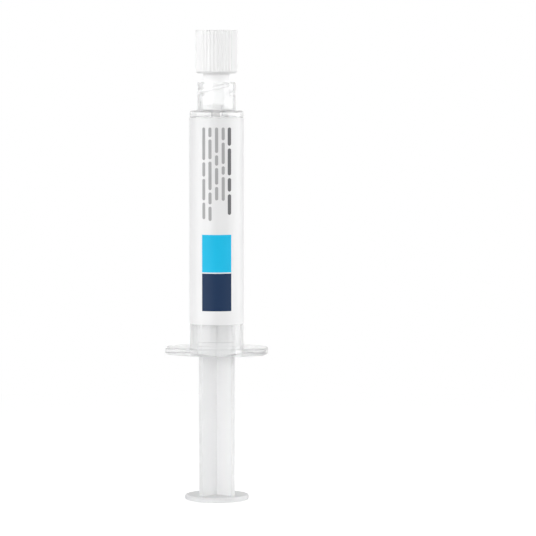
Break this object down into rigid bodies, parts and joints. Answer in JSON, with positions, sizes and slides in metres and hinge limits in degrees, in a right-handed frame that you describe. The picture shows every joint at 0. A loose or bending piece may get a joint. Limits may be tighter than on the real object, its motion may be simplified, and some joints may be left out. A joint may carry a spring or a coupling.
{
  "type": "adhesive syringe",
  "caption": "Slim single-barrel adhesive syringe with a luer-lock nozzle, ribbed screw cap, wrap label, oval finger flange and finned push plunger.",
  "frame": {"origin": "centre of the thumb plate's outer face, on which the syringe stands", "axes": "+Z along the barrel's axis towards the cap, -Y out of the front of the label"},
  "size_m": [0.0262, 0.0174, 0.1199],
  "materials": {
    "barrel_plastic": "frosted natural polypropylene",
    "label_film": "satin white film",
    "cap_plastic": "satin white polypropylene",
    "rod_plastic": "natural polypropylene",
    "piston_rubber": "smooth pale elastomer",
    "adhesive_paste": "glossy milky paste"
  },
  "bodies": {
    "barrel": {"barrel": "barrel_plastic", "label": "label_film", "adhesive": "adhesive_paste"},
    "piston": {"piston": "piston_rubber"},
    "plunger": {"plunger_rod": "rod_plastic"},
    "cap": {"cap": "cap_plastic"}
  },
  "joints": [
    {"name": "plunger_slide", "type": "slide", "parent": "barrel", "child": "piston", "axis": [0, 0, 1], "range_m": [0, 0.022], "deforming": ["adhesive"]},
    {"name": "plunger_turn", "type": "hinge", "parent": "piston", "child": "plunger", "pos_m": [0, 0, 0.0684], "axis": [0, 0, 1], "continuous": true},
    {"name": "cap_lift", "type": "slide", "parent": "barrel", "child": "cap", "axis": [0, 0, 1], "range_m": [0, 0.02]}
  ]
}
